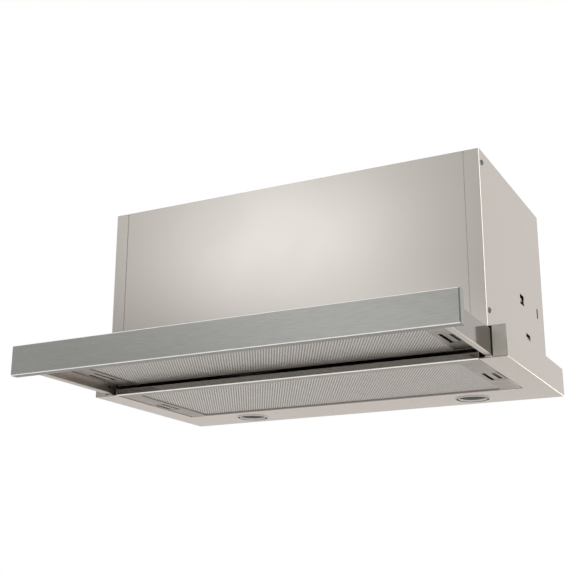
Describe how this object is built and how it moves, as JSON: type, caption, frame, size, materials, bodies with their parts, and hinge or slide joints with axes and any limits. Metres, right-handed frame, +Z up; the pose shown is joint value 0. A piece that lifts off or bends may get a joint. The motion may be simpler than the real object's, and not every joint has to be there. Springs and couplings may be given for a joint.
{
  "type": "pull out range hood",
  "caption": "Slide-out range hood with a low base, a fan box above, a brushed pull-out front tray, mesh grease filters, lamps and a round duct collar.",
  "frame": {"origin": "centre of the four shelf-screw holes in the top panel's upper face, on the duct collar's axis", "axes": "+X across the hood to the right as seen by the cook, +Y back to the wall, +Z up along the duct"},
  "size_m": [0.598, 0.4622, 0.3168],
  "materials": {
    "body_paint": "glossy warm silver paint",
    "tray_paint": "glossy warm silver paint",
    "galvanised_steel": "zinc-coated sheet with a soft spangle",
    "cap_plastic": "fine-grained grey moulding",
    "white_plastic": "smooth off-white moulding",
    "screw_steel": "plated screws and pins",
    "black_plastic": "fine-grained black moulding",
    "blower_plastic": "dark grey moulding",
    "motor_metal": "cast and turned motor shell",
    "capacitor_can": "drawn can",
    "plunger_plastic": "small moulded plunger",
    "lamp_ring": "satin ring",
    "lamp_glass": "smoked, frosted lens",
    "lamp_metal": "die-cast can with ribs",
    "filter_metal": "folded satin sheet",
    "filter_mesh": "expanded mesh",
    "slider_plastic": "small grey knobs",
    "brushed_panel": "stainless sheet brushed along its length"
  },
  "bodies": {
    "housing": {"base_housing": "body_paint", "front_crossbar": "tray_paint", "left_end_cap": "cap_plastic", "right_end_cap": "cap_plastic", "left_runner_channel": "galvanised_steel", "right_runner_channel": "galvanised_steel", "glide_pads": "white_plastic", "front_cover": "body_paint", "left_side_panel": "body_paint", "right_side_panel": "body_paint", "back_panel": "galvanised_steel", "top_panel": "galvanised_steel", "side_screws": "screw_steel", "foot_screws": "screw_steel", "duct_collar": "black_plastic", "damper_pins": "screw_steel", "collar_screws": "screw_steel", "left_scroll_half": "blower_plastic", "right_scroll_half": "blower_plastic", "fan_motor": "motor_metal", "motor_bracket": "galvanised_steel", "bracket_screws": "screw_steel", "run_capacitor": "capacitor_can", "junction_box": "white_plastic", "junction_lid": "white_plastic", "cable_gland": "black_plastic", "left_lamp_bezel": "lamp_ring", "right_lamp_bezel": "lamp_ring", "left_lamp_lens": "lamp_glass", "right_lamp_lens": "lamp_glass", "left_lamp_body": "lamp_metal", "right_lamp_body": "lamp_metal", "tray_switch": "black_plastic", "base_filter_frame": "filter_metal", "base_filter_mesh": "filter_mesh", "base_filter_core": "filter_mesh"},
    "tray": {"tray_left_profile": "tray_paint", "tray_right_profile": "tray_paint", "tray_front_rail": "tray_paint", "tray_rear_rail": "tray_paint", "tray_top_sheet": "tray_paint", "front_panel": "brushed_panel", "panel_screws": "screw_steel", "left_slide_shoe": "white_plastic", "right_slide_shoe": "white_plastic", "tray_filter_frame": "filter_metal", "tray_filter_mesh": "filter_mesh", "tray_filter_core": "filter_mesh", "control_unit": "black_plastic"},
    "fan_wheel": {"fan_wheel": "blower_plastic", "motor_shaft": "screw_steel"},
    "front_damper_flap": {"front_damper_flap": "black_plastic"},
    "rear_damper_flap": {"rear_damper_flap": "black_plastic"},
    "left_base_latch": {"left_base_latch": "filter_metal"},
    "right_base_latch": {"right_base_latch": "filter_metal"},
    "left_tray_latch": {"left_tray_latch": "filter_metal"},
    "right_tray_latch": {"right_tray_latch": "filter_metal"},
    "switch_plunger": {"switch_plunger": "plunger_plastic"},
    "speed_slider": {"speed_slider": "slider_plastic"},
    "light_slider": {"light_slider": "slider_plastic"}
  },
  "joints": [
    {"name": "tray_slide", "type": "slide", "parent": "housing", "child": "tray", "axis": [0, 1, 0], "range_m": [0, 0.164]},
    {"name": "fan_spin", "type": "hinge", "parent": "housing", "child": "fan_wheel", "pos_m": [0, -0.036, -0.132], "axis": [1, 0, 0], "continuous": true},
    {"name": "front_flap_hinge", "type": "hinge", "parent": "housing", "child": "front_damper_flap", "pos_m": [0, -0.004, 0.008], "axis": [-1, 0, 0], "range_deg": [0, 75]},
    {"name": "rear_flap_hinge", "type": "hinge", "parent": "housing", "child": "rear_damper_flap", "pos_m": [0, 0.004, 0.008], "axis": [1, 0, 0], "range_deg": [0, 75]},
    {"name": "left_base_latch_slide", "type": "slide", "parent": "housing", "child": "left_base_latch", "axis": [1, 0, 0], "range_m": [0, 0.003], "stiffness_N_per_m": 300},
    {"name": "right_base_latch_slide", "type": "slide", "parent": "housing", "child": "right_base_latch", "axis": [-1, 0, 0], "range_m": [0, 0.003], "stiffness_N_per_m": 300},
    {"name": "left_tray_latch_slide", "type": "slide", "parent": "tray", "child": "left_tray_latch", "axis": [1, 0, 0], "range_m": [0, 0.003], "stiffness_N_per_m": 300},
    {"name": "right_tray_latch_slide", "type": "slide", "parent": "tray", "child": "right_tray_latch", "axis": [-1, 0, 0], "range_m": [0, 0.003], "stiffness_N_per_m": 300},
    {"name": "switch_plunger_slide", "type": "slide", "parent": "housing", "child": "switch_plunger", "axis": [0, 1, 0], "range_m": [0, 0.0015], "stiffness_N_per_m": 200},
    {"name": "speed_slide", "type": "slide", "parent": "tray", "child": "speed_slider", "axis": [1, 0, 0], "range_m": [0, 0.012]},
    {"name": "light_slide", "type": "slide", "parent": "tray", "child": "light_slider", "axis": [1, 0, 0], "range_m": [0, 0.006]}
  ]
}
